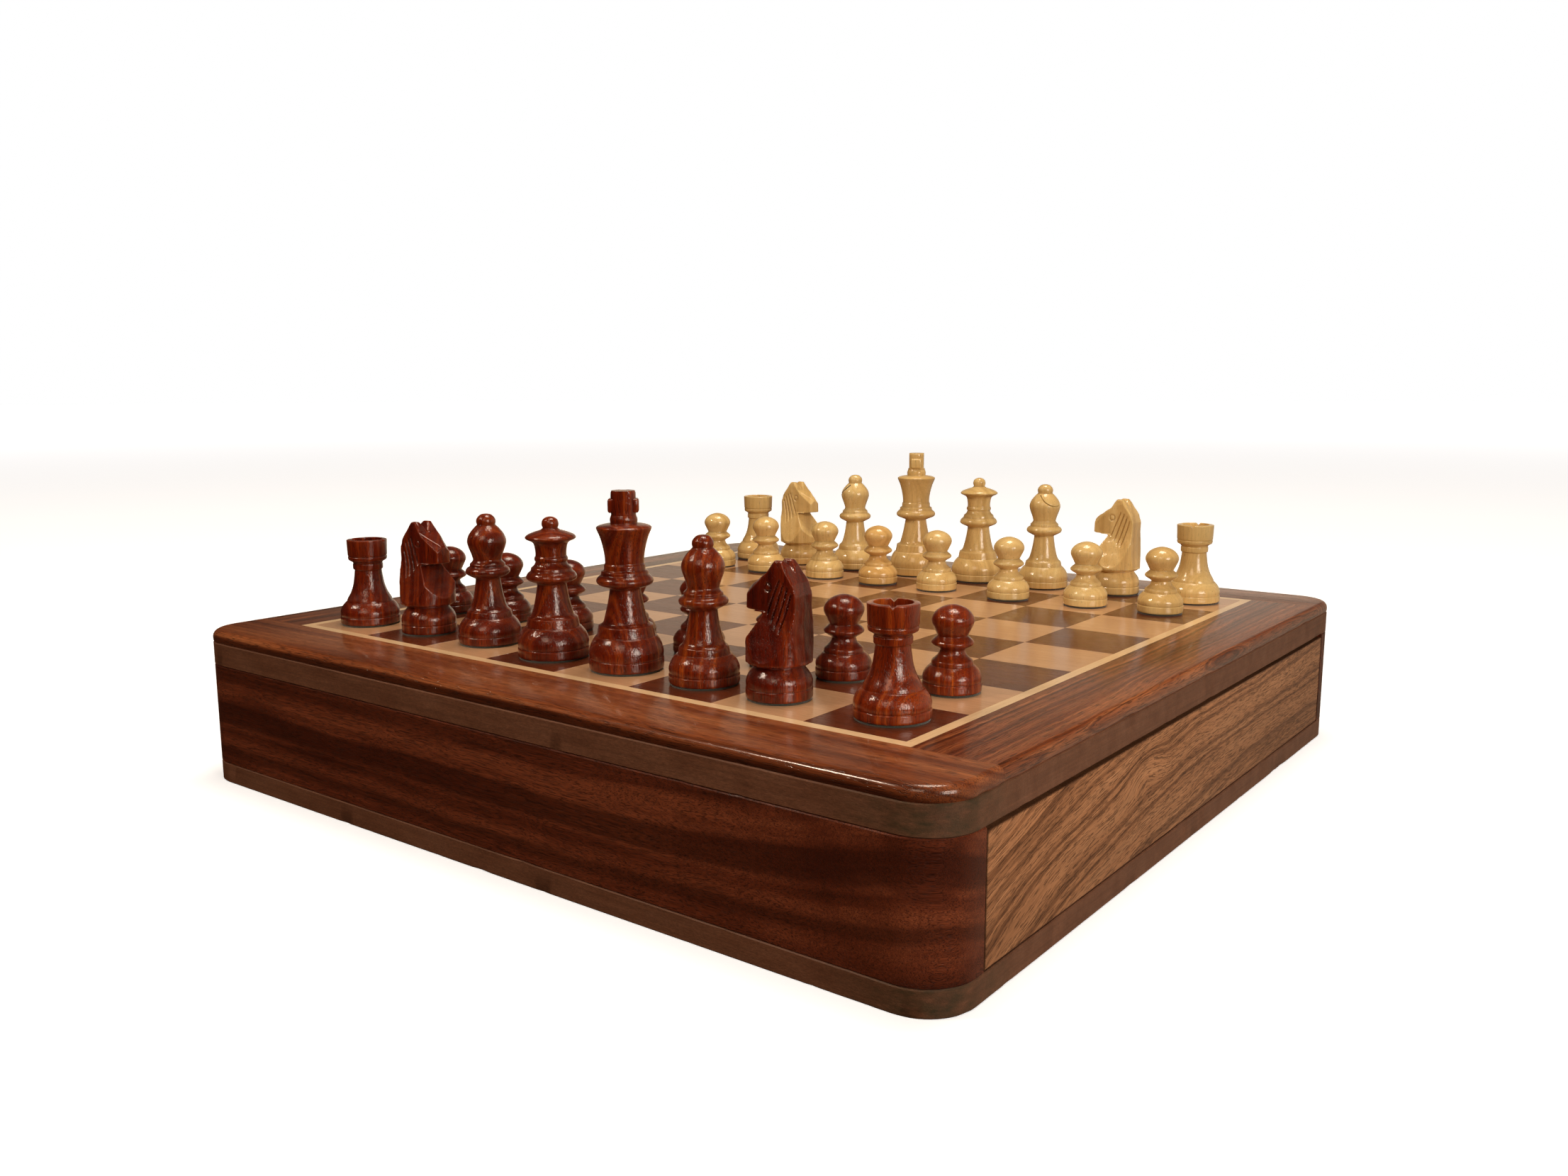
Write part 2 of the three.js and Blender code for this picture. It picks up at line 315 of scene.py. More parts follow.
def fibreboard():
    """Stained fibreboard edge: fine fibres, dark greenish stains near the near corner, thin lacquer."""
    n = new_material("stained_fibreboard")
    grain = n.attribute("grain", "Vector")
    fibres = n.noise(grain, (0.9, 3.0, 3.0), detail=5.0, roughness=0.75)
    layers = n.noise(grain, (0.03, 0.03, 1.6), roughness=0.6)
    cloud = n.noise(grain, (0.05, 0.16, 0.16), detail=5.0, roughness=0.65)
    base = n.ramp(cloud, *zip((0.30, 0.52, 0.72), BOARD_TONES))
    base = n.tinted(base, n.ramp(fibres, (0.3, 0.66), (0.7, 1.3)))
    base = n.tinted(base, n.ramp(layers, (0.3, 0.84), (0.7, 1.14)))
    spots = n.noise(grain, (0.22, 0.22, 0.5), detail=4.0, roughness=0.6)
    patch = n.ramp(spots, (0.30, 0.15), (0.70, 0.95))
    stained = n.times(patch, n.attribute("edge"), clamp=True)
    shader = n.add("BsdfPrincipled", {
        "Base Color": n.mix(stained, base, colour(STAIN_COLOUR)),
        "Roughness": n.plus(0.46, n.times(fibres, 0.2)),
        "Normal": n.bump(fibres, FIBRE_DEPTH * MM),
        "Coat Weight": 0.1,
        "Coat Roughness": 0.35,
        "Specular IOR Level": 0.3,
    })
    return n.finish(shader.outputs[0])


# How deep the felt's hairs stand, in mm.
HAIR_DEPTH = 0.35


def felt(name, tone):
    """Short woollen felt: matted fibres with a soft sheen."""
    n = new_material(name)
    grain = n.attribute("grain", "Vector")
    hairs = n.noise(grain, (2.2, 2.2, 2.2), detail=6.0, roughness=0.75, distortion=1.2)
    worn_patches = n.noise(grain, (0.03, 0.03, 0.03))
    base = n.mix(hairs, colour(tone, 0.55), colour(tone, 1.5))
    shader = n.add("BsdfPrincipled", {
        "Base Color": n.tinted(base, n.ramp(worn_patches, (0.3, 0.85), (0.7, 1.15))),
        "Roughness": 0.95,
        "Normal": n.bump(hairs, HAIR_DEPTH * MM),
        "Sheen Weight": 0.5,
        "Sheen Roughness": 0.5,
    })
    return n.finish(shader.outputs[0])


# Where the floor's glow starts to change and where it has changed, in m from its middle.
GLOW_START = 0.3
GLOW_END = 3.0


def glowing(name, tint, glow):
    """A plain matt surface that also glows, evenly or from (near its middle, far from it)."""
    n = new_material(name)
    if isinstance(glow, tuple):
        near, far = glow
        reach = n.add("VectorMath", {0: n.add("TexCoord").outputs["Object"]}, operation="LENGTH")
        share = n.add("MapRange", {0: reach.outputs["Value"], 1: GLOW_START, 2: GLOW_END}).outputs["Result"]
        glow = n.plus(near, n.times(share, far - near))
    shader = n.add("BsdfPrincipled", {
        "Base Color": colour(tint),
        "Roughness": 0.9,
        "Specular IOR Level": 0.0,
        "Emission Color": colour(1.0),
        "Emission Strength": glow,
    })
    return n.finish(shader.outputs[0])


MATERIALS = {
    "dark_men": wood(
        "red_brown_lacquered_wood",
        [(0.042, 0.0018, 0.0005), (0.118, 0.0085, 0.0015), (0.290, 0.042, 0.0060)],
        rings=(2.6, 3.0, 60.0, 0.18), lines=(0.34, 0.45), fibre=0.42,
        pores=(0.365, 3.0, 0.05), gloss=(0.34, 1.0, 0.05), ripple=0.13, wear=0.5,
        orange=(1.9, 3.0, 2.2),
    ),
    "light_men": wood(
        "pale_lacquered_boxwood",
        [(0.56, 0.355, 0.122), (0.74, 0.520, 0.208), (0.83, 0.645, 0.302)],
        rings=(3.4, 3.0, 80.0, 0.20), lines=(0.27, 0.25), fibre=0.10,
        pores=(0.26, 2.6, 0.01), gloss=(0.38, 1.0, 0.09), ripple=0.07, wear=0.3,
        orange=(1.0, 0.78, 0.55),
    ),
    "border": wood(
        "rosewood_border",
        [(0.062, 0.013, 0.0045), (0.190, 0.050, 0.016), (0.350, 0.120, 0.042)],
        rings=(2.2, 12.0, 150.0, 0.12), lines=(0.38, 0.6), fibre=0.40,
        pores=(0.38, 5.0, 0.05), gloss=(0.34, 0.75, 0.13), ripple=0.02, wear=0.05,
    ),
    "walls": wood(
        "rosewood_walls",
        [(0.040, 0.007, 0.003), (0.135, 0.030, 0.012), (0.240, 0.064, 0.026)],
        rings=(5.0, 40.0, 170.0, 0.10), lines=(0.42, 0.7), fibre=0.55,
        pores=(0.395, 4.5, 0.08), gloss=(0.44, 0.22, 0.25), ripple=0.02, wear=0.3,
        sweep=(-44.0, 152.0, -42.0),
    ),
    "drawer_front": wood(
        "rosewood_drawer_front",
        [(0.140, 0.056, 0.024), (0.440, 0.205, 0.094), (0.550, 0.285, 0.142)],
        rings=(3.3, 9.0, 110.0, 0.24), lines=(0.405, 0.64), fibre=0.30,
        pores=(0.385, 3.5, 0.07), gloss=(0.50, 0.2, 0.30), ripple=0.02, wear=0.4,
        sweep=(28.0, -135.0, 75.0), knot=(-42.0, 32.0, 6.0, -5.0),
    ),
    "dark_square": wood(
        "walnut_square",
        [(0.036, 0.0055, 0.0018), (0.075, 0.0140, 0.0042), (0.125, 0.031, 0.010)],
        rings=(2.2, 5.0, 120.0, 0.2), lines=(0.36, 0.5), fibre=0.34,
        pores=(0.38, 4.0, 0.04), gloss=(0.36, 0.85, 0.10), ripple=0.04,
    ),
    "light_square": wood(
        "maple_square",
        [(0.37, 0.200, 0.098), (0.45, 0.255, 0.135), (0.51, 0.310, 0.172)],
        rings=(3.4, 6.0, 130.0, 0.22), lines=(0.26, 0.25), fibre=0.08,
        pores=(0.27, 3.0, 0.02), gloss=(0.36, 0.85, 0.10), ripple=0.04,
    ),
    "inlay": wood(
        "maple_inlay",
        [(0.60, 0.365, 0.190), (0.70, 0.450, 0.250), (0.76, 0.510, 0.300)],
        rings=(3.0, 4.0, 130.0, 0.22), lines=(0.26, 0.2), fibre=0.06,
        pores=(0.25, 3.0, 0.02), gloss=(0.36, 0.85, 0.10), ripple=0.04,
    ),
    "drawer_wood": wood(
        "bare_drawer_wood",
        [(0.36, 0.225, 0.12), (0.48, 0.32, 0.18), (0.57, 0.395, 0.235)],
        rings=(5.0, 14.0, 220.0, 0.2), lines=(0.34, 0.5), fibre=0.12,
        pores=(0.33, 5.0, 0.06), gloss=(0.6, 0.0, 0.5),
    ),
    "fibreboard": fibreboard(),
    "men_felt": felt("dark_felt_disc", (0.040, 0.042, 0.030)),
    "drawer_felt": felt("green_felt_lining", (0.018, 0.075, 0.040)),
}


# ------------ mesh helpers


def link(name, data):
    obj = bpy.data.objects.new(name, data)
    bpy.context.scene.collection.objects.link(obj)
    return obj


def applied(mesh, *modifiers):
    """The mesh with these (kind, settings) modifiers applied."""
    obj = link("scratch", mesh)
    for kind, settings in modifiers:
        modifier = obj.modifiers.new(kind, kind)
        for key, value in settings.items():
            setattr(modifier, key, value)
    graph = bpy.context.evaluated_depsgraph_get()
    result = bpy.data.meshes.new_from_object(obj.evaluated_get(graph), depsgraph=graph)
    bpy.data.objects.remove(obj)
    return result


def mesh_of(bm):
    """A mesh from the bmesh, which ends here."""
    mesh = bpy.data.meshes.new("part")
    bmesh.ops.recalc_face_normals(bm, faces=bm.faces)
    bm.to_mesh(mesh)
    bm.free()
    return mesh


def joined(*meshes):
    bm = bmesh.new()
    for mesh in meshes:
        bm.from_mesh(mesh)
    return mesh_of(bm)


def coordinates(mesh):
    flat = np.empty(len(mesh.vertices) * 3)
    mesh.vertices.foreach_get("co", flat)
    return flat.reshape(-1, 3)


def move_to(mesh, co):
    mesh.vertices.foreach_set("co", co.ravel())
    mesh.update()
    return mesh


# Curvature: edges count as at least this long in mm, bends are cut off here, and smoothed this often.
SHORTEST_EDGE = 0.15
SHARPEST_BEND = 1.5
BEND_SMOOTHING = 2


def curvature(mesh):
    """How sharply the surface bends at each point, in 1/mm: positive on ridges, negative in hollows."""
    co = coordinates(mesh)
    normals = np.array([v.normal for v in mesh.vertices])
    ends = np.empty(len(mesh.edges) * 2, int)
    mesh.edges.foreach_get("vertices", ends)
    a, b = ends.reshape(-1, 2).T
    line = co[b] - co[a]
    length = np.maximum(np.linalg.norm(line, axis=1), SHORTEST_EDGE)
    total, count = np.zeros(len(co)), np.zeros(len(co))
    for here, direction in ((a, line), (b, -line)):
        np.add.at(total, here, -np.sum(direction * normals[here], axis=1) / length**2)
        np.add.at(count, here, 1)
    bend = np.clip(total / np.maximum(count, 1), -SHARPEST_BEND, SHARPEST_BEND)
    for _ in range(BEND_SMOOTHING):
        spread, count = bend.copy(), np.ones(len(co))
        np.add.at(spread, a, bend[b])
        np.add.at(spread, b, bend[a])
        np.add.at(count, a, 1)
        np.add.at(count, b, 1)
        bend = spread / count
    return bend


# The mesh axis that runs along the grain, then the two across it.
GRAIN_AXES = {"x": (0, 1, 2), "y": (1, 0, 2), "z": (2, 0, 1), "drawer": (1, 2, 0)}
SHARP_ANGLE = 38
# How far each piece's grain is moved at random, in mm.
GRAIN_SHIFT_ALONG = 900
GRAIN_SHIFT_ACROSS = 14


def shifted(grain, seed):
    """The grain moved at random, so that each piece shows another part of the wood."""
    shift = random.Random(seed).uniform
    return grain + [shift(-GRAIN_SHIFT_ALONG, GRAIN_SHIFT_ALONG),
                    shift(-GRAIN_SHIFT_ACROSS, GRAIN_SHIFT_ACROSS),
                    shift(-GRAIN_SHIFT_ACROSS, GRAIN_SHIFT_ACROSS)]


def write_attribute(mesh, name, values, kind="FLOAT", field="value"):
    attribute = mesh.attributes.new(name, kind, "POINT")
    attribute.data.foreach_set(field, values.astype(np.float32).ravel())


def finish_mesh(mesh, along, seed, edge=None, tone=None):
    """Shades the mesh, writes what the materials read from it, and scales it to metres.

    along names the way the grain runs. Without a seed the grain keeps the mesh's own coordinates. edge
    is how worn (1) or darkened (-1) each point is, the darkening being pooled lacquer and painted shade;
    without it, the curvature says. tone is how orange it is.
    """
    mesh.shade_smooth()
    mesh.set_sharp_from_angle(angle=math.radians(SHARP_ANGLE))
    grain = coordinates(mesh)[:, GRAIN_AXES[along]]
    if seed is not None:
        grain = shifted(grain, seed)
    write_attribute(mesh, "grain", grain, "FLOAT_VECTOR", "vector")
    write_attribute(mesh, "edge", curvature(mesh) if edge is None else edge)
    if tone is not None:
        write_attribute(mesh, "tone", np.full(len(mesh.vertices), tone))
    mesh.transform(Matrix.Scale(MM, 4))
    return mesh


def place(name, mesh, material, body, slot, node, at=(0, 0, 0), turn=0.0):
    """Puts a finished mesh in place of a CAD node, at a point in metres and turned about the vertical."""
    mesh.materials.clear()
    mesh.materials.append(MATERIALS[material])
    obj = link(name, mesh)
    obj.location = at
    obj.rotation_euler = (0, 0, turn)
    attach(obj, body)
    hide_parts(node)
    return obj


# ------------ turned shapes


# Turned shapes: sides round, step along the outline and rounding of corners in mm, the bend in degrees
# that counts as a corner, how much of a short side its rounding may take, and the least radius of a ring.
LATHE_SIDES = 56
PROFILE_STEP = 0.6
CORNER_ROUNDING = 0.22
CORNER_ANGLE = 20
CORNER_SHARE = 0.45
ON_AXIS = 1e-4
# The thickness of the felt discs, and the mark of a sharp corner in a profile.
FELT = 0.6
C = "corner"


def spline(points, step):
    """A smooth curve through the points. It meets the axis squarely where it ends on it."""
    if len(points) == 2 and min(p[0] for p in points) > 0:
        return [points[-1]]
    first = 2 * points[0] - points[1]
    last = 2 * points[-1] - points[-2]
    if points[-1][0] == 0:
        last = np.array([-points[-2][0], points[-2][1]])
    padded = [first, *points, last]
    curve = []
    for p0, p1, p2, p3 in zip(padded, padded[1:], padded[2:], padded[3:]):
        count = max(2, math.ceil(np.linalg.norm(p2 - p1) / step))
        for t in np.arange(1, count + 1) / count:
            curve.append(0.5 * (2 * p1 + (p2 - p0) * t + (2 * p0 - 5 * p1 + 4 * p2 - p3) * t**2
                                + (3 * p1 - p0 - 3 * p2 + p3) * t**3))
    return curve


def softened(points, radius):
    """Rounds the sharp corners of an open outline, as sanding and lacquer do."""
    result = [points[0]]
    for before, here, after in zip(points, points[1:], points[2:]):
        a, b = before - here, after - here
        la, lb = np.linalg.norm(a), np.linalg.norm(b)
        bend = math.pi - math.acos(np.clip(a @ b / (la * lb), -1, 1))
        if bend < math.radians(CORNER_ANGLE):
            result.append(here)
            continue
        cut = min(radius, CORNER_SHARE * la, CORNER_SHARE * lb)
        start, end = here + a / la * cut, here + b / lb * cut
        for t in (0, 0.33, 0.67, 1):
            result.append((1 - t) ** 2 * start + 2 * t * (1 - t) * here + t**2 * end)
    result.append(points[-1])
    return result


def outline(profile):
    """The fine outline of a turned shape from [(radius, height)] and (radius, height, C) at corners."""
    points = [np.array(p[:2], float) for p in profile]
    corners = [0, *(i for i, p in enumerate(profile) if len(p) == 3), len(profile) - 1]
    fine = [points[0]]
    for i, j in zip(corners, corners[1:]):
        if j > i:
            fine += spline(points[i:j + 1], PROFILE_STEP)
    return softened(fine, CORNER_ROUNDING)


def lathe(profile):
    """A closed turned solid. The profile starts off the axis at the bottom and ends on the axis."""
    rings = [(r, z) for r, z in outline(profile) if r > ON_AXIS]
    top = profile[-1][1]
    bm = bmesh.new()
    angles = [2 * math.pi * i / LATHE_SIDES for i in range(LATHE_SIDES)]
    rows = [[bm.verts.new((r * math.cos(a), r * math.sin(a), z)) for a in angles] for r, z in rings]
    for low, high in zip(rows, rows[1:]):
        for i in range(LATHE_SIDES):
            k = (i + 1) % LATHE_SIDES
            bm.faces.new((low[i], low[k], high[k], high[i]))
    tip = bm.verts.new((0, 0, top))
    for i in range(LATHE_SIDES):
        bm.faces.new((rows[-1][i], rows[-1][(i + 1) % LATHE_SIDES], tip))
    bm.faces.new(rows[0][::-1])
    return mesh_of(bm)


def foot(radius, groove, shoulder, ring):
    """A turned foot: a straight band, a cut groove, a bulge up to the shoulder, and a bead on it.

    radius is the band's, groove is the height of the cut, and shoulder and ring are (radius, height).
    """
    shoulder_radius, shoulder_height = shoulder
    ring_radius, ring_height = ring
    rise = shoulder_height - groove
    return [
        (radius - 0.25, FELT, C),
        (radius, FELT + 0.4),
        (radius, groove - 0.25, C),
        (radius - 0.3, groove, C),
        (radius - 0.12, groove + 0.3, C),
        (radius - 0.1, groove + 0.35 * rise),
        (radius - 0.75 * (radius - shoulder_radius) * 0.55, groove + 0.72 * rise),
        (shoulder_radius + 0.1, shoulder_height, C),
        (shoulder_radius - 0.35, shoulder_height + 0.15, C),
        (ring_radius, (shoulder_height + ring_height) / 2 + 0.1),
        (ring_radius - 0.25, ring_height, C),
    ]


# Profiles of the turned men, as (radius, height) in mm from the board up. C marks a sharp corner.
PAWN = [
    *foot(8.4, 3.3, (6.2, 7.7), (5.9, 9.2)),
    (4.7, 10.0), (3.9, 10.9), (3.5, 12.1, C), (4.1, 12.6), (5.7, 13.6), (6.0, 14.3), (5.5, 15.0),
    (4.2, 16.1, C), (5.0, 17.7), (6.0, 20.2), (5.3, 22.3), (3.2, 24.0), (0, 24.8),
]
ROOK = [
    *foot(10.3, 3.1, (8.2, 8.0), (7.7, 9.4)),
    (6.3, 11.5), (5.4, 14.1), (4.9, 17.0), (4.6, 19.6, C), (5.1, 19.9, C), (5.15, 21.6, C),
    (4.95, 21.8, C), (5.2, 22.4), (6.5, 23.2, C), (6.7, 24.2, C), (6.45, 24.5, C), (6.7, 24.8, C),
    (6.9, 30.3, C), (5.2, 30.5, C), (5.0, 28.0), (3.4, 27.7), (0, 27.7),
]
BISHOP = [
    *foot(10.3, 3.2, (7.9, 8.8), (7.4, 11.0)),
    (6.1, 12.0), (5.4, 13.8), (4.7, 16.8), (4.2, 19.9), (4.0, 21.7, C), (5.0, 22.2), (6.9, 23.3),
    (7.2, 24.4), (6.6, 25.3), (5.7, 25.8, C), (5.75, 26.6, C), (4.9, 27.4), (4.6, 28.1, C),
    (5.1, 29.9), (6.0, 32.4), (6.3, 34.2), (5.7, 36.2), (4.3, 38.1), (2.9, 39.5, C), (3.15, 40.4),
    (2.9, 41.6), (1.7, 42.8), (0, 43.1),
]
QUEEN = [
    *foot(11.2, 3.4, (8.7, 9.7), (8.1, 12.7)),
    (6.7, 13.6), (5.9, 16.0), (5.2, 19.1), (4.7, 22.1), (4.6, 23.4, C), (6.0, 24.0), (7.6, 24.8),
    (7.9, 25.7), (7.3, 26.8), (6.5, 27.4, C), (6.3, 28.4, C), (5.3, 29.3), (4.8, 30.4, C),
    (5.15, 30.8), (5.15, 31.6), (4.8, 32.1, C), (4.8, 33.5), (5.15, 35.6), (5.8, 36.6), (7.5, 37.4),
    (7.9, 38.0), (7.1, 38.8), (4.9, 39.7), (3.0, 40.3), (2.3, 40.9, C), (2.65, 42.0), (2.3, 43.4),
    (1.2, 44.2), (0, 44.4),
]
KING = [
    *foot(11.3, 3.8, (9.2, 10.3), (8.5, 13.6)),
    (6.9, 14.4), (6.2, 16.6), (5.4, 20.0), (4.8, 23.2), (4.6, 24.7, C), (5.9, 25.2), (8.0, 26.1),
    (8.6, 27.2), (8.0, 28.3), (7.1, 29.0, C), (7.05, 30.0, C), (6.2, 30.4, C), (6.15, 31.9, C),
    (5.8, 32.4, C), (5.9, 34.5), (6.4, 37.4), (7.2, 40.3), (8.15, 42.6), (8.1, 43.3), (6.6, 43.9),
    (4.0, 44.3, C), (4.1, 45.6), (3.7, 46.8, C), (3.7, 47.2), (3.7, 53.4), (3.2, 54.0, C),
    (0, 54.1),
]
KNIGHT_FOOT = [
    (9.05, FELT, C), (9.3, FELT + 0.4), (9.3, 3.2, C), (9.05, 3.5, C), (9.2, 3.8, C), (9.2, 5.4),
    (8.6, 7.0), (7.6, 8.4), (6.9, 9.3), (6.6, 9.9, C), (0, 9.9),
]


# ------------ carved shapes


def slab(size, middle, tilt=(0, 0, 0)):
    """A block to cut with, in mm, tilted about its middle by these degrees."""
    bm = bmesh.new()
    bmesh.ops.create_cube(bm, size=1)
    bm.transform(Matrix.LocRotScale(Vector(middle), Matrix.Identity(3), Vector(size)))
    for axis, angle in zip("XYZ", tilt):
        about = Matrix.Translation(middle) @ Matrix.Rotation(math.radians(angle), 4, axis)
        bm.transform(about @ Matrix.Translation(-Vector(middle)))
    return mesh_of(bm)


# Points nearer than this, in mm, are merged after a cut.
SAME_PLACE = 0.002


def without_doubles(mesh):
    """The mesh in triangles, without those that lie back to back on the same three points."""
    bm = bmesh.new()
    bm.from_mesh(mesh)
    bmesh.ops.triangulate(bm, faces=bm.faces[:])
    bmesh.ops.remove_doubles(bm, verts=bm.verts, dist=SAME_PLACE)
    bm.verts.index_update()
    same = {}
    for face in bm.faces:
        same.setdefault(frozenset(v.index for v in face.verts), []).append(face)
    doubled = [face for faces in same.values() if len(faces) > 1 for face in faces]
    bmesh.ops.delete(bm, geom=doubled, context="FACES")
    bm.to_mesh(mesh)
    bm.free()
    return mesh


def boolean(mesh, cutter, operation="DIFFERENCE"):
    tool = link("cutter", cutter)
    result = applied(mesh, ("BOOLEAN", {"object": tool, "operation": operation, "solver": "EXACT"}))
    bpy.data.objects.remove(tool)
    return without_doubles(result)


# What is cut from the turned men, and the arms of the king's cross: (size, middle) in mm, tilt in degrees.
BISHOP_SAW = ((7, 14, 0.5), (3.6, 0, 36.4))
BISHOP_SAW_TILT = (0, 40, 0)
ROOK_FILE = (3.0, 1.6, 1.6)
ROOK_FILE_OUT = 6.2
ROOK_FILE_HEIGHT = 30.6
ROOK_FILE_TILT = (45, 0, 0)
CROSS_WASTE = (11, 2.3, 9.4)
CROSS_WASTE_OUT = 4.3
CROSS_WASTE_HEIGHT = 52.0
CROSS_ARMS = ((9.2, 4.8, 4.2), (0, 0, 49.6))
CROSS_ROUNDING = {"width": 0.7, "segments": 3}


def bishop():
    """The head has a thin saw cut slanting down into it from one side."""
    return boolean(lathe(BISHOP), slab(*BISHOP_SAW, tilt=BISHOP_SAW_TILT))


def rook():
    """A V is filed across the rim, front and back."""
    tower = lathe(ROOK)
    for side in (-1, 1):
        spot = (side * ROOK_FILE_OUT, 0, ROOK_FILE_HEIGHT)
        tower = boolean(tower, slab(ROOK_FILE, spot, tilt=ROOK_FILE_TILT))
    return tower


def king():
    """The finial is a stubby cross, cut from the turned stub with two short arms left on it."""
    body = lathe(KING)
    for side in (-1, 1):
        body = boolean(body, slab(CROSS_WASTE, (0, side * CROSS_WASTE_OUT, CROSS_WASTE_HEIGHT)))
    arms = applied(slab(*CROSS_ARMS), ("BEVEL", CROSS_ROUNDING))
    return boolean(body, arms, "UNION")


# The knight is sawn from a turned blank. Its side outline is (forward, height), and its front outline,
# seen from ahead, is (half width, height).
HORSE_SIDE = [
    (-9.6, 9.2), (9.6, 9.2), (9.6, 12.4), (2.2, 24.2), (9.0, 24.8), (9.6, 25.8), (9.6, 29.6),
    (8.6, 30.8), (1.5, 35.2), (0.7, 37.2), (-0.5, 38.5), (-2.8, 38.5), (-4.3, 36.9), (-5.2, 35.2),
    (-7.0, 32.4), (-7.9, 29.3), (-7.8, 22.0), (-8.0, 16.0), (-8.6, 11.0), (-9.6, 10.0),
]
HORSE_FRONT = [
    (9.8, 9.0), (9.7, 10.4), (8.8, 12.0), (7.7, 15.0), (6.6, 18.0), (5.6, 20.8), (4.85, 23.0),
    (4.5, 25.5), (4.35, 30.0), (4.2, 34.0), (4.0, 36.4), (3.5, 38.4), (1.9, 38.7),
]
EAR_GAP = (0, 34.9)
HORSE_BLANK = [
    (6.9, 9.3, C), (8.3, 10.0), (9.15, 11.0), (9.3, 12.6), (9.3, 38.8, C), (0, 38.8),
]
# Knife cuts on one side of the horse, mirrored to the other: a point on each, its outward normal and
# the height that it starts at.
KNIFE_CUTS = [
    ((9.6, 2.6, 27), (0.22, 0.97, 0), 24.5),
    ((4.2, 3.0, 33.4), (0.60, 0.58, 0.55), 28.0),
    ((-3.2, 4.1, 37.4), (-0.25, 0.78, 0.56), 33.0),
    ((-8.0, 5.4, 20), (-0.62, 0.78, 0.10), 9.0),
    ((-7.0, 4.3, 32), (-0.55, 0.70, 0.45), 28.0),
]
# Mane grooves and the eye, as (forward, height).
MANE_GROOVES = [
    ((-2.6, 33.4), (1.0, 24.0)),
    ((-4.0, 32.7), (-0.5, 22.0)),
    ((-5.3, 31.6), (-2.0, 20.4)),
    ((-6.4, 29.9), (-3.6, 19.6)),
]
GROOVE_HALF_WIDTH = 0.42
GROOVE_DEPTH = 0.75
GROOVE_OVERRUN = 0.08
EYE = (0.9, 31.2)
EYE_RING = 1.05
EYE_RING_HALF_WIDTH = 0.5
EYE_RING_DEPTH = 0.4
# Grooves are cut where the surface faces sideways by more than this, and fade in above it.
FLANK_START = 0.35
FLANK_FADE = 0.3
# The uneven surface that the knife leaves: its height, and the length of its waves.
KNIFE_RIPPLE = 0.16
KNIFE_RIPPLE_LENGTH = 3.2
# How far the outlines are sawn to either side, the size of the knife's block, and the fineness of the
# softened head.
SAW_REACH = 12
KNIFE_SIZE = 30
HORSE_VOXEL = 0.255


def prism(points, push, low, high):
    """A solid with this outline. push(a, b, t) gives the 3-D point for outline point (a, b) at t."""
    bm = bmesh.new()
    near = [bm.verts.new(push(a, b, low)) for a, b in points]
    far = [bm.verts.new(push(a, b, high)) for a, b in points]
    bm.faces.new(near)
    bm.faces.new(far[::-1])
    for i in range(len(points)):
        k = (i + 1) % len(points)
        bm.faces.new((near[k], near[i], far[i], far[k]))
    bmesh.ops.triangulate(bm, faces=[f for f in bm.faces if len(f.verts) > 4])
    return mesh_of(bm)


def knife(point, normal, start):
    """A big block that takes off what lies outside a plane, above the start height."""
    turn = Vector(normal).to_track_quat("Z", "Y").to_matrix()
    blade = slab((KNIFE_SIZE,) * 3, (0, 0, KNIFE_SIZE / 2))
    blade.transform(Matrix.LocRotScale(Vector(point), turn, None))
    return boolean(blade, slab((2 * KNIFE_SIZE,) * 3, (0, 0, start - KNIFE_SIZE)))


def mirrored(mesh):
    other = mesh.copy()
    other.transform(Matrix.Scale(-1, 4, (0, 1, 0)))
    other.flip_normals()
    return other


def groove_depth(points, start, end):
    """How deep each (x, z) point lies in a V groove from start to end, from 0 to 1."""
    start, end = np.array(start), np.array(end)
    line = end - start
    along = np.clip(((points - start) @ line) / (line @ line), 0, 1)
    away = np.linalg.norm(points - start - along[:, None] * line, axis=1)
    fade = np.clip(6 * np.minimum(along + GROOVE_OVERRUN, 1 + GROOVE_OVERRUN - along), 0, 1)
    return np.clip(1 - away / GROOVE_HALF_WIDTH, 0, 1) * fade


def sawn_horse():
    """The blank, sawn to both outlines and cut with the knife."""
    side = prism(HORSE_SIDE, lambda a, b, t: (a, t, b), -SAW_REACH, SAW_REACH)
    front = HORSE_FRONT + [EAR_GAP] + [(-a, b) for a, b in HORSE_FRONT[::-1]]
    front = prism(front, lambda a, b, t: (t, a, b), -SAW_REACH, SAW_REACH)
    rough = boolean(boolean(lathe(HORSE_BLANK), side, "INTERSECT"), front, "INTERSECT")
    for cut in KNIFE_CUTS:
        rough = boolean(rough, knife(*cut))
        rough = boolean(rough, mirrored(knife(*cut)))
    return rough


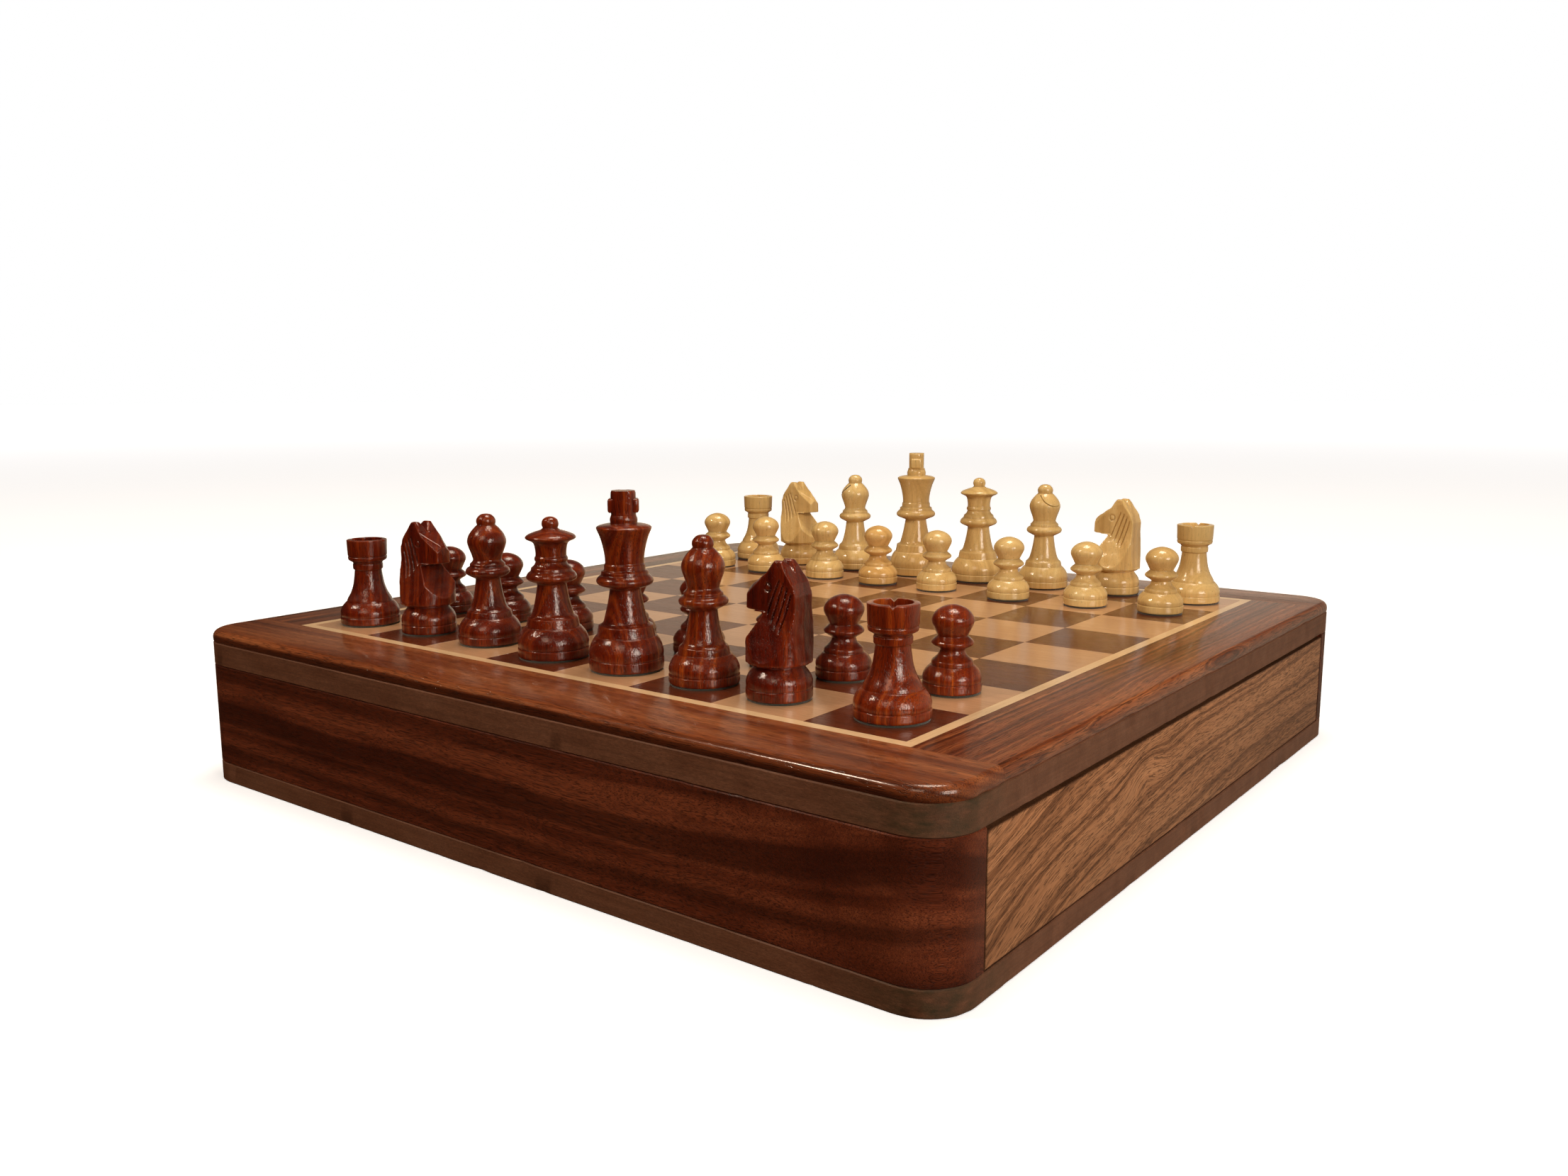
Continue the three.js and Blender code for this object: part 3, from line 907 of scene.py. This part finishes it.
def horse():
    """The sawn head, softened as lacquered wood, then its mane, eyes and knife marks."""
    mesh = without_doubles(applied(sawn_horse(),
                                   ("REMESH", {"mode": "VOXEL", "voxel_size": HORSE_VOXEL}),
                                   ("SMOOTH", {"factor": 0.5, "iterations": 2})))
    co = coordinates(mesh)
    normals = np.array([v.normal for v in mesh.vertices])
    flank = np.clip((np.abs(normals[:, 1]) - FLANK_START) / FLANK_FADE, 0, 1)
    side = co[:, [0, 2]]
    mane = np.max([groove_depth(side, *groove) for groove in MANE_GROOVES], axis=0) * GROOVE_DEPTH
    from_ring = np.abs(np.linalg.norm(side - np.array(EYE), axis=1) - EYE_RING)
    eye = np.clip(1 - from_ring / EYE_RING_HALF_WIDTH, 0, 1) * EYE_RING_DEPTH
    co[:, 1] -= np.sign(co[:, 1]) * np.maximum(mane, eye) * flank
    uneven = np.array([noise.noise(Vector(point) / KNIFE_RIPPLE_LENGTH) for point in co])
    co += normals * (KNIFE_RIPPLE * uneven)[:, None]
    return move_to(mesh, co)


def knight():
    return joined(lathe(KNIGHT_FOOT), horse())


# ------------ the men


FOOT_RADII = {"pawn": 8.4, "rook": 10.3, "knight": 9.3, "bishop": 10.3, "queen": 11.2, "king": 11.3}
SHAPES = {
    "pawn": lathe(PAWN),
    "rook": rook(),
    "knight": knight(),
    "bishop": bishop(),
    "queen": lathe(QUEEN),
    "king": king(),
}
# How far these men are turned about the vertical, in degrees. The others are turned at random.
TURNS = {
    "dark_bishop_left": 120, "dark_bishop_right": 160,
    "light_bishop_left": 195, "light_bishop_right": -20,
    "dark_rook_left": 20, "dark_rook_right": -59,
    "light_rook_left": 30, "light_rook_right": -80,
    "dark_king": 42, "light_king": 118,
    "dark_knight_left": 3, "dark_knight_right": 184,
    "light_knight_left": -4, "light_knight_right": 180,
}
# How orange the wood of these men is. The others vary a little at random.
TONES = {
    "dark_rook_right": 1.0, "dark_pawn_8": 0.75, "dark_bishop_right": 0.35, "dark_king": 0.25,
    "dark_bishop_left": 0.3, "dark_queen": 0.2, "dark_knight_right": -0.1,
    "light_pawn_4": 0.55, "light_pawn_5": 0.12, "light_queen": -0.1, "light_pawn_2": 0.15,
}
TONE_RANGE = (-0.05, 0.15)
TONE_SEED = 50
# The felt discs: how far in from the foot's edge, and how uneven round their own edge.
FELT_INSET = 0.35
RAGGEDNESS = 0.012
RAGGED_WAVES = 0.9
RAGGED_SEED_STEP = 7.0


def felt_disc(radius, seed):
    """A die-cut disc with a slightly ragged edge."""
    mesh = lathe([(radius, 0, C), (radius, FELT, C), (0, FELT)])
    co = coordinates(mesh)
    for point in co:
        where = Vector((point[0] * RAGGED_WAVES, point[1] * RAGGED_WAVES, seed * RAGGED_SEED_STEP))
        point[:2] *= 1 + RAGGEDNESS * noise.noise(where)
    return move_to(mesh, co)


def stand_man(node, seed):
    """Puts a fine man, with its felt disc, where its CAD solid stands."""
    army, role = node.split("_")[:2]
    low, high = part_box(node)
    spot = ((low.x + high.x) / 2, (low.y + high.y) / 2, low.z)
    turn = math.radians(TURNS.get(node, random.Random(seed).uniform(0, 360)))
    tone = TONES.get(node, random.Random(seed + TONE_SEED).uniform(*TONE_RANGE))
    mesh = finish_mesh(SHAPES[role].copy(), "z", seed, tone=tone)
    place(node + "_wood", mesh, f"{army}_men", node, f"{army}_men", node, at=spot, turn=turn)
    disc = finish_mesh(felt_disc(FOOT_RADII[role] - FELT_INSET, seed), "z", seed)
    place(node + "_felt", disc, "men_felt", node, "drawer_felt", node, at=spot, turn=turn)


for number, name in enumerate(sorted(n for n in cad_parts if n.startswith(("dark", "light")))):
    stand_man(name, number)


# ------------ the box


# The box's outline: half its side, the radius of its corners, and the steps round it. EASE rounds edges.
HALF = (Vector(CAD_BOX[1]) / MM).x
CORNER = 14.0
RING_STEP = 2.0
CORNER_STEPS = 14
EASE = 0.35
# The top layer: the heights and insets of its hand-rounded upper edge and its chipped lower edge.
TOP_EDGE = 2.4
TOP_EDGE_STEPS = 5
LOWER_EDGE_HEIGHT = 0.5
LOWER_EDGE_INSETS = (0.3, 0.05)
# How worn each ring of an edge is, as a multiple of the chips' depth.
LOWER_EDGE_WEAR = (1.1, 0.4)
TOP_WEAR = 0.1
WALL_WEAR = 0.6
PANEL_WEAR = 0.8
# The chips: how fast they change round the box and up its sides, and how rare the big and small are.
CHIP_WAVES = 0.16
CHIP_WAVES_UP = 0.35
CHIP_RARITY = 0.32
SMALL_CHIP_WAVES = 3.7
SMALL_CHIP_RARITY = 0.25
SMALL_CHIP_SHARE = 0.25


def rounded_square(inset):
    """Points round the box's outline, set in from its sides."""
    half, radius = HALF - inset, CORNER - inset
    straight = 2 * (HALF - CORNER)
    points = []
    for quarter in range(4):
        spin = Matrix.Rotation(quarter * math.pi / 2, 2)
        count = round(straight / RING_STEP)
        for i in range(count):
            points.append(spin @ Vector((half, -straight / 2 + straight * i / count)))
        centre = Vector((HALF - CORNER, HALF - CORNER))
        for i in range(CORNER_STEPS):
            a = math.pi / 2 * i / CORNER_STEPS
            points.append(spin @ (centre + radius * Vector((math.cos(a), math.sin(a)))))
    return points


def worn(point, height, amount):
    """A point of a ring, pushed in towards the box where the edge is chipped or worn."""
    where = Vector((point.x * CHIP_WAVES, point.y * CHIP_WAVES, height * CHIP_WAVES_UP))
    chip = max(0.0, noise.noise(where) - CHIP_RARITY)
    small_chip = max(0.0, noise.noise(where * SMALL_CHIP_WAVES) - SMALL_CHIP_RARITY)
    return point * (1 - amount * (chip + SMALL_CHIP_SHARE * small_chip) / HALF)


def stacked(rings):
    """A solid with the box's outline, from (height, inset, wear) rings."""
    bm = bmesh.new()
    rows = []
    for height, inset, wear in rings:
        outline_points = [worn(p, height, wear) for p in rounded_square(inset)]
        rows.append([bm.verts.new((p.x, p.y, height)) for p in outline_points])
    for low, high in zip(rows, rows[1:]):
        for i in range(len(low)):
            k = (i + 1) % len(low)
            bm.faces.new((low[i], low[k], high[k], high[i]))
    bm.faces.new(rows[0][::-1])
    bm.faces.new(rows[-1])
    return bm


def sliced(bm, *cuts):
    """Keeps the part of a solid on the inner side of each (axis, sign, limit) plane."""
    for axis, sign, limit in cuts:
        normal = Vector((0, 0, 0))
        normal["xyz".index(axis)] = sign
        everything = bm.verts[:] + bm.edges[:] + bm.faces[:]
        bmesh.ops.bisect_plane(bm, geom=everything, plane_co=normal * sign * limit,
                               plane_no=normal, clear_outer=True)
        bmesh.ops.holes_fill(bm, edges=[e for e in bm.edges if e.is_boundary], sides=0)
    return mesh_of(bm)


def eased_rings(low, high, wear):
    return [(low, EASE, wear), (low + EASE, 0, wear), (high - EASE, 0, wear), (high, EASE, wear)]


def top_rings(low, high):
    """The top layer: a chipped lower edge, a short upright side and a hand-rounded upper edge."""
    rings = [
        (low, LOWER_EDGE_INSETS[0], LOWER_EDGE_WEAR[0]),
        (low + LOWER_EDGE_HEIGHT, LOWER_EDGE_INSETS[1], LOWER_EDGE_WEAR[1]),
        (high - TOP_EDGE, 0, TOP_WEAR),
    ]
    for i in range(1, TOP_EDGE_STEPS + 1):
        a = math.pi / 2 * i / TOP_EDGE_STEPS
        rings.append((high - TOP_EDGE * (1 - math.sin(a)), TOP_EDGE * (1 - math.cos(a)), TOP_WEAR))
    return rings


def block(low, high, ease=EASE, segments=2):
    """A block between two corners in mm, with eased edges."""
    bm = bmesh.new()
    bmesh.ops.create_cube(bm, size=1)
    size = Vector(high) - Vector(low)
    bm.transform(Matrix.LocRotScale((Vector(low) + Vector(high)) / 2, Matrix.Identity(3), size))
    bmesh.ops.bevel(bm, geom=bm.edges[:], offset=ease, segments=segments, affect="EDGES", profile=0.5)
    return mesh_of(bm)


def node_block(node, **ease):
    """A block with eased edges where a CAD block is."""
    low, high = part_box(node)
    return block(low / MM, high / MM, **ease)


def height_of(node):
    low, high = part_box(node)
    return low.z / MM, high.z / MM


def cut_to(node, axis, sign):
    """The (axis, sign, limit) plane through the inner face of a strip or wall."""
    low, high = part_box(node)
    inner = (low if sign < 0 else high)["xyz".index(axis)] / MM
    return axis, sign, inner


# The first number that each kind of part takes its random grain from.
PANEL_SEED = 400
BORDER_SEED = 420
INLAY_SEED = 430
SQUARE_SEED = 500
DRAWER_SEED = 601
# The stain near the front right corner: its reach in mm, and its strength at the corner.
STAIN_REACH = 26.0
STAIN_CORE = 1.35
# The rounding of the thin strips' and squares' edges, which lie flush.
SHARP_EASE = 0.06
# The drawer front's bevel gets painted shade, so that the gap round it shows dark: by how much, and between
# which depths behind its face, in mm.
BEVEL_SHADE = -1.3
BEVEL_DEPTHS = (0.02, 1.0)


def make_panels():
    for seed, node in enumerate(("bottom_panel", "top_panel"), PANEL_SEED):
        mesh = mesh_of(stacked(eased_rings(*height_of(node), wear=PANEL_WEAR)))
        near_corner = coordinates(mesh)[:, :2] - (HALF, -HALF)
        stained = np.clip(STAIN_CORE - np.linalg.norm(near_corner, axis=1) / STAIN_REACH, 0, 1)
        mesh = finish_mesh(mesh, "x", seed, edge=stained)
        place(node + "_board", mesh, "fibreboard", "board", "fibreboard", node)


def make_walls():
    """The front and back walls carry the box's rounded corners, and the left one stands between them."""
    for node, sign in {"front_wall": 1, "back_wall": -1}.items():
        solid = stacked(eased_rings(*height_of(node), wear=WALL_WEAR))
        mesh = finish_mesh(sliced(solid, cut_to(node, "y", sign)), "x", None)
        place(node + "_wood", mesh, "walls", "board", "wall_rosewood", node)
    mesh = finish_mesh(node_block("left_wall"), "y", None)
    place("left_wall_wood", mesh, "walls", "board", "wall_rosewood", "left_wall")


def make_borders():
    rings = top_rings(*height_of("border_front"))
    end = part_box("border_left")[1].y / MM
    ends = [("y", 1, end), ("y", -1, -end)]
    borders = {
        "border_front": ("x", [cut_to("border_front", "y", 1)]),
        "border_back": ("x", [cut_to("border_back", "y", -1)]),
        "border_left": ("y", [cut_to("border_left", "x", 1), *ends]),
        "border_right": ("y", [cut_to("border_right", "x", -1), *ends]),
    }
    for seed, (node, (along, cuts)) in enumerate(borders.items(), BORDER_SEED):
        mesh = finish_mesh(sliced(stacked(rings), *cuts), along, seed)
        place(node + "_strip", mesh, "border", "board", "border_rosewood", node)


def make_inlays():
    inlays = {"inlay_front": "x", "inlay_back": "x", "inlay_left": "y", "inlay_right": "y"}
    for seed, (node, along) in enumerate(inlays.items(), INLAY_SEED):
        mesh = finish_mesh(node_block(node, ease=SHARP_EASE, segments=1), along, seed)
        place(node + "_strip", mesh, "inlay", "board", "inlay_maple", node)


def make_squares():
    """Eight squares in each rank, dark and light by turns. The near right one is dark."""
    for rank in range(8):
        node = f"rank_{rank + 1}"
        low, high = (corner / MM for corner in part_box(node))
        side = (high.x - low.x) / 8
        for file in range(8):
            x = low.x + side * file
            ends = (x, low.y, low.z), (x + side, high.y, high.z)
            mesh = block(*ends, ease=SHARP_EASE, segments=1)
            mesh = finish_mesh(mesh, "x", SQUARE_SEED + rank * 8 + file)
            name = f"square_{'abcdefgh'[file]}{rank + 1}"
            look = "dark_square" if (file + rank) % 2 == 1 else "light_square"
            place(name, mesh, look, "board", "field_squares", node)


def shaded_bevel(mesh):
    """Painted shade where the drawer front's bevel is, so that the gap round it shows dark."""
    behind = HALF - coordinates(mesh)[:, 0]
    start, end = BEVEL_DEPTHS
    return np.where((behind > start) & (behind < end), BEVEL_SHADE, 0)


def make_drawer():
    front = node_block("drawer_front", ease=0.6)
    # The drawer front's edge values paint shade on its bevel, for the gap round it.
    mesh = finish_mesh(front, "drawer", None, edge=shaded_bevel(front))
    place("drawer_front_fine", mesh, "drawer_front", "drawer", "drawer_front_rosewood", "drawer_front")
    inside = {
        "drawer_side_front": ("drawer_wood", "x", 0.4),
        "drawer_side_back": ("drawer_wood", "x", 0.4),
        "drawer_back": ("drawer_wood", "y", 0.4),
        "drawer_bottom": ("drawer_wood", "y", 0.1),
        "drawer_lining": ("drawer_felt", "x", 0.3),
    }
    for seed, (node, (look, along, ease)) in enumerate(inside.items(), DRAWER_SEED):
        mesh = finish_mesh(node_block(node, ease=ease), along, seed)
        place(node + "_fine", mesh, look, "drawer", look, node)


make_panels()
make_walls()
make_borders()
make_inlays()
make_squares()
make_drawer()


# ------------ stage, lights and camera


STAGE_RADIUS = 8.0
FLOOR_COLOUR = (0.792, 0.855, 0.90)
FLOOR_GLOW = 0.55
BACKDROP_GLOW = 1.0
# The room's soft light: where each patch is, where it starts and is full (as cosines), and its colour.
# The first is everywhere.
ROOM_LIGHTS = [
    ((0, 0, 1), (-2.0, -1.9), (0.038, 0.017, 0.010)),
    ((0.62, 0.78, -0.10), (0.62, 0.93), (0.40, 0.30, 0.21)),
    ((-0.60, 0.79, 0.12), (0.90, 0.985), (0.24, 0.20, 0.15)),
    ((-0.63, 0.775, 0.02), (0.96, 0.995), (0.28, 0.24, 0.18)),
    ((-0.25, 0.97, 0.00), (0.94, 0.990), (0.48, 0.41, 0.32)),
]
# The studio's lamps: place and aim in m, size in m, power in W, and colour.
SOFTBOXES = {
    "overhead": ((0.05, 0.15, 1.5), (0, 0, 0.05), (0.55, 0.55), 14.3, (1.0, 0.84, 0.68)),
    "left_window": ((-0.62, -0.80, 0.98), (0, 0, 0.08), (0.10, 0.20), 5.0, (1.0, 0.80, 0.62)),
    "right_window": ((0.95, -0.36, 0.36), (0.1, 0, 0.04), (0.38, 0.42), 5.4, (1.0, 0.88, 0.76)),
    "front_lamp": ((0.30, -1.00, 0.80), (0, 0, 0.05), (0.42, 0.42), 2.2, (1.0, 0.76, 0.56)),
}
CAMERA_PLACE = (0.2813, -0.3788, 0.1405)
CAMERA_AZIMUTH = 37.33
CAMERA_ELEVATION = 9.31
CAMERA_ROLL = -0.12
CAMERA_LENS = 29.28
SENSOR_WIDTH = 36.0
NEAREST_SEEN = 0.01


def make_floor():
    bm = bmesh.new()
    bmesh.ops.create_circle(bm, cap_ends=True, segments=96, radius=STAGE_RADIUS)
    floor = link("floor", mesh_of(bm))
    floor.data.materials.append(glowing("pale_floor", FLOOR_COLOUR, (FLOOR_GLOW, BACKDROP_GLOW)))
    return floor


def make_backdrop():
    bm = bmesh.new()
    bmesh.ops.create_uvsphere(bm, u_segments=48, v_segments=24, radius=STAGE_RADIUS)
    backdrop = link("backdrop", mesh_of(bm))
    backdrop.data.materials.append(glowing("pale_backdrop", 0.0, BACKDROP_GLOW))
    backdrop.visible_shadow = False
    return backdrop


def make_stage():
    """A pale floor and backdrop that don't light the set."""
    for obj in (make_floor(), make_backdrop()):
        obj.visible_diffuse = False
        obj.visible_glossy = False


def make_room():
    """A dim room with a few soft patches of light in it."""
    n = Nodes(bpy.data.worlds.new("dim_room"))
    direction = n.add("TexCoord").outputs["Generated"]
    total = (0, 0, 0)
    for aim, (start, full), tint in ROOM_LIGHTS:
        dot = n.add("VectorMath", {0: direction, 1: Vector(aim).normalized()}, operation="DOT_PRODUCT")
        fade = n.add("MapRange", {"Value": dot.outputs["Value"], "From Min": start, "From Max": full},
                     interpolation_type="SMOOTHSTEP")
        patch = n.add("VectorMath", {0: tint, "Scale": fade.outputs["Result"]}, operation="SCALE")
        total = n.add("VectorMath", {0: total, 1: patch.outputs[0]}, operation="ADD").outputs[0]
    background = n.add("Background", {"Color": total})
    bpy.context.scene.world = n.finish(background.outputs[0], "OutputWorld")


def softbox(name, spot, aim, size, power, tint):
    light = bpy.data.lights.new(name, "AREA")
    light.shape = "RECTANGLE"
    light.size, light.size_y = size
    light.energy = power
    light.color = tint
    obj = link(name, light)
    obj.location = spot
    obj.rotation_euler = (Vector(aim) - Vector(spot)).to_track_quat("-Z", "Y").to_euler()
    obj.visible_camera = False


def make_camera():
    camera = bpy.data.cameras.new("camera")
    camera.lens = CAMERA_LENS
    camera.sensor_width = SENSOR_WIDTH
    camera.clip_start = NEAREST_SEEN
    azimuth, elevation = math.radians(CAMERA_AZIMUTH), math.radians(CAMERA_ELEVATION)
    back = Vector((math.sin(azimuth) * math.cos(elevation),
                   -math.cos(azimuth) * math.cos(elevation), math.sin(elevation)))
    turn = back.to_track_quat("Z", "Y").to_matrix().to_4x4()
    turn = turn @ Matrix.Rotation(math.radians(CAMERA_ROLL), 4, "Z")
    obj = link("camera", camera)
    obj.matrix_world = Matrix.Translation(CAMERA_PLACE) @ turn
    bpy.context.scene.camera = obj
    bpy.context.scene.view_settings.view_transform = "Standard"


make_stage()
make_room()
for lamp, settings in SOFTBOXES.items():
    softbox(lamp, *settings)
make_camera()
